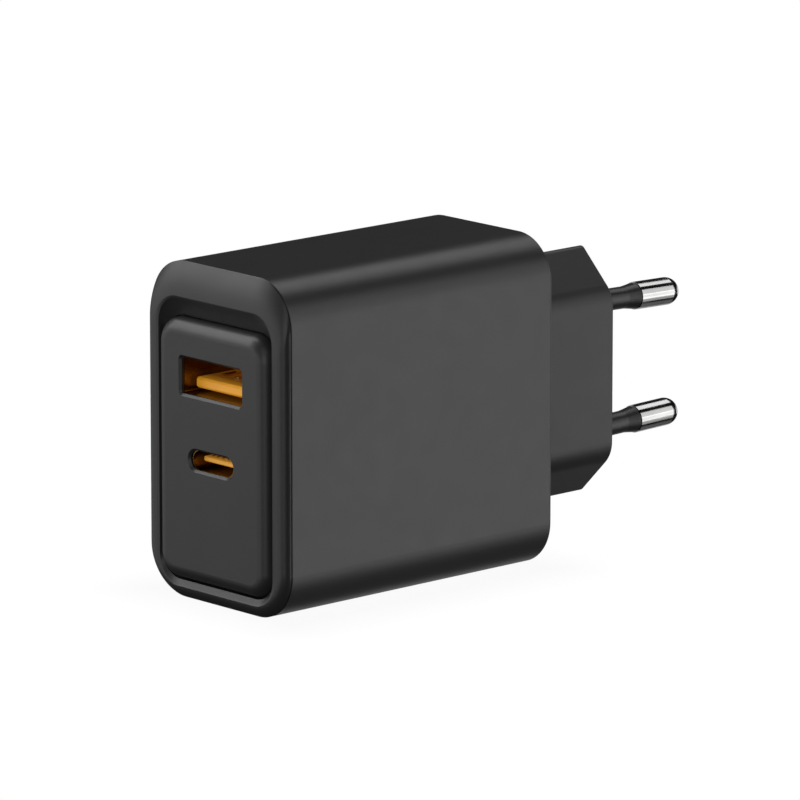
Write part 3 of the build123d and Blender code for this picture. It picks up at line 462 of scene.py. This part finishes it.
MATERIALS = {
    "housing_plastic": moulded("housing_plastic", BLACK, 0.38, 0.16, 0.004),
    "cover_plastic": moulded("cover_plastic", BLACK, 0.40, 0.14, 0.003),
    "panel_plastic": moulded("panel_plastic", (0.028, 0.028, 0.029), 0.40, 0.14, 0.003),
    "plug_plastic": moulded("plug_plastic", BLACK, 0.42, 0.2, 0.005),
    "pin_sleeve_plastic": moulded("pin_sleeve_plastic", (0.026, 0.026, 0.027), 0.36, 0.12, 0.003),
    "nickel_plate": plated("nickel_plate", (0.42, 0.42, 0.415), 0.13),
    "spring_brass": rolled("spring_brass", (0.72, 0.53, 0.22), 0.3),
    "shell_steel": rolled("shell_steel", (0.55, 0.55, 0.56), 0.3),
    "gilt_shell": rolled("gilt_shell", (0.22, 0.125, 0.03), 0.24),
    # the number after each tongue's colour is its painted glow
    "orange_insulator": tongue_resin("orange_insulator", (1.0, 0.44, 0.03), 0.20, "usb_a_insulator"),
    "amber_insulator": tongue_resin("amber_insulator", (1.0, 0.46, 0.05), 0.22, "usb_c_tongue"),
    "gold_contact": rolled("gold_contact", (0.85, 0.60, 0.24), 0.22),
    "tinned_wire": rolled("tinned_wire", (0.68, 0.68, 0.67), 0.28, (1, 1, 1)),
    "board_laminate": laminate(),
    "fish_paper": paper(),
    "ferrite": cast("ferrite", (0.055, 0.055, 0.060), 0.55, 0.12, 0.012, 0.45),
    "bobbin_plastic": cast("bobbin_plastic", (0.032, 0.032, 0.034), 0.42, 0.3, 0.005),
    "winding_tape": tape(),
    "enamelled_copper": plated("enamelled_copper", (0.62, 0.23, 0.07), 0.25, "X", 0.3),
    "can_sleeve": can_sleeve(),
    "bare_can": rolled("bare_can", (0.68, 0.69, 0.70), 0.3, (12, 1, 1)),
    "yellow_case": cast("yellow_case", (0.74, 0.52, 0.05), 0.35, 0.5, 0.006, 0.1),
    "grey_case": cast("grey_case", (0.12, 0.12, 0.125), 0.4, 0.35, 0.006, 0.15),
    "chip_resin": resin(),
    "green_coating": cast("green_coating", (0.02, 0.17, 0.08), 0.22, 0.9, 0.03, 0.2, Coat_Weight=0.5),
    "blue_coating": cast("blue_coating", (0.04, 0.15, 0.42), 0.22, 0.9, 0.03, 0.2, Coat_Weight=0.5),
}

for subpart in frame["record"]["subparts"]:
    for slot in nodes[subpart["node"]].material_slots:
        slot.material = MATERIALS[subpart["material_slot"]]

# ---------------------------------------------------------------- added pieces


def add_piece(name, data, slot_name):
    """Puts a new piece on the charger's one body, with that slot's material."""
    data.materials.append(MATERIALS[slot_name])
    piece = bpy.data.objects.new(name, data)
    bpy.context.scene.collection.objects.link(piece)
    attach(piece, "root")
    return piece


# two coils of wire round the choke's ring core
WIRE_RADIUS = 0.27 * MM
WIRE_TAIL = 0.6 * MM  # how far the wires reach past the solder face
WIRE_APART = 1.0 * MM  # the points of one wire end are nearer to each other than this
CORE_BORE = 0.5  # the ring core's bore, as a share of its outer size
COIL_CLEAR = 0.05 * MM  # gap between the wire and the core
COIL_TURNS = 10
COIL_STEPS = 16  # points along each turn
COIL_SPREAD = radians(142)  # how far round the ring each coil goes
COIL_CORNER = 0.35  # power that squares the round turns off; a smaller one gives sharper corners
LEAD_CLEAR = 2.4 * WIRE_RADIUS  # how far behind its coil a first lead stays
LEAD_BEND = 4 * WIRE_RADIUS  # height above the board at which a first lead bends


def middle_of(values):
    return (min(values) + max(values)) / 2


def wire_ends(name, face_x):
    """Centres, as (y, z), of the round wire ends that a CAD node has on the low-x side of that plane."""
    ends = []
    for vertex in nodes[name].data.vertices:
        x, y, z = vertex.co
        if x > face_x:
            continue
        for end in ends:
            first_y, first_z = end[0]
            if abs(first_y - y) < WIRE_APART and abs(first_z - z) < WIRE_APART:
                end.append((y, z))
                break
        else:
            ends.append([(y, z)])
    return [tuple(middle_of(values) for values in zip(*end)) for end in ends]


def coil_points(side):
    """The wire's middle line over half of the ring: side 1 is above its centre and -1 is below."""
    low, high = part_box("choke_core")
    centre = (low + high) / 2
    outer = (high.z - low.z) / 2
    inner = CORE_BORE * outer
    middle, half = (outer + inner) / 2, (outer - inner) / 2 + WIRE_RADIUS + COIL_CLEAR
    deep = (high.y - low.y) / 2 + WIRE_RADIUS + COIL_CLEAR
    count = COIL_TURNS * COIL_STEPS
    points = []
    for step in range(count + 1):
        turn = 2 * pi * step / COIL_STEPS
        # a superellipse follows the core's rectangular section with rounded corners
        out, back = (copysign(abs(part) ** COIL_CORNER, part) for part in (cos(turn), sin(turn)))
        spread = pi / 2 + COIL_SPREAD * (step / count - 0.5)
        reach = middle + half * out
        points.append(centre + Vector((reach * cos(spread), deep * back, side * reach * sin(spread))))
    return points


def add_choke_wire():
    """Two coils, one on each half of the ring, whose four leads go down through the board."""
    curve = bpy.data.curves.new("choke_wire", "CURVE")
    curve.dimensions = "3D"
    curve.bevel_depth = WIRE_RADIUS
    curve.bevel_resolution = 3
    solder_face, component_face = (corner.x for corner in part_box("main_board"))
    tail = solder_face - WIRE_TAIL
    ends = wire_ends("choke_windings", solder_face - WIRE_TAIL / 2)
    middle = sum(z for y, z in ends) / len(ends)
    for side in (1, -1):
        points = coil_points(side)
        near, far = sorted(end for end in ends if (end[1] - middle) * side > 0)
        behind = max(point.y for point in points) + LEAD_CLEAR
        first_lead = [
            Vector((tail, *far)),
            Vector((component_face + WIRE_RADIUS, *far)),
            Vector((component_face + LEAD_BEND, behind, far[1])),
            Vector((points[0].x, behind, points[0].z)),
        ]
        last_lead = [Vector((component_face + WIRE_RADIUS, *near)), Vector((tail, *near))]
        route = first_lead + points + last_lead
        spline = curve.splines.new("NURBS")
        spline.points.add(len(route) - 1)
        for point, place in zip(spline.points, route):
            point.co = (*place, 1)
        spline.order_u = 3
        spline.use_endpoint_u = True
    piece = add_piece("choke_wire", curve, "enamelled_copper")
    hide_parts("choke_windings")


add_choke_wire()

# solder joints round the wire ends that come through the main board
JOINT_SIDES = 14
JOINT_HEIGHT = 0.78  # mm, up to the joint's tip
# (height above the board, radius) up the joint's side, in millimetres
JOINT_PROFILE = ((0.0, 0.85), (0.06, 0.80), (0.20, 0.58), (0.40, 0.44), (0.62, 0.38), (0.74, 0.28))
MAIN_BOARD_PARTS = (
    "fuse",
    "thermistor",
    "y_capacitor",
    "x_capacitor",
    "bridge_rectifier",
    "choke_windings",
    "upper_bulk_capacitor",
    "lower_bulk_capacitor",
    "transformer_pins",
    "output_capacitor",
    "optocoupler",
    "board_link_pins",
)


def add_joint(shape, face_x, y, z):
    """Adds one solder cone to the shape, standing out of the board's face at that place."""
    rings = []
    for height, radius in JOINT_PROFILE:
        ring = []
        for step in range(JOINT_SIDES):
            turn = 2 * pi * step / JOINT_SIDES
            across, along = radius * MM * cos(turn), radius * MM * sin(turn)
            ring.append(shape.verts.new((face_x - height * MM, y + across, z + along)))
        rings.append(ring)
    tip = shape.verts.new((face_x - JOINT_HEIGHT * MM, y, z))
    for step in range(JOINT_SIDES):
        following = (step + 1) % JOINT_SIDES
        for lower, upper in zip(rings, rings[1:]):
            shape.faces.new((lower[step], upper[step], upper[following], lower[following]))
        shape.faces.new((rings[-1][step], tip, rings[-1][following]))
    shape.faces.new(rings[0])


def add_solder_joints():
    face_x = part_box("main_board")[0].x
    shape = bmesh.new()
    for name in MAIN_BOARD_PARTS:
        for y, z in wire_ends(name, face_x - WIRE_TAIL / 2):
            add_joint(shape, face_x, y, z)
    for face in shape.faces:
        face.smooth = len(face.verts) < JOINT_SIDES
    bmesh.ops.recalc_face_normals(shape, faces=shape.faces)
    mesh = bpy.data.meshes.new("solder_joints")
    shape.to_mesh(mesh)
    shape.free()
    add_piece("solder_joints", mesh, "tinned_wire")


add_solder_joints()
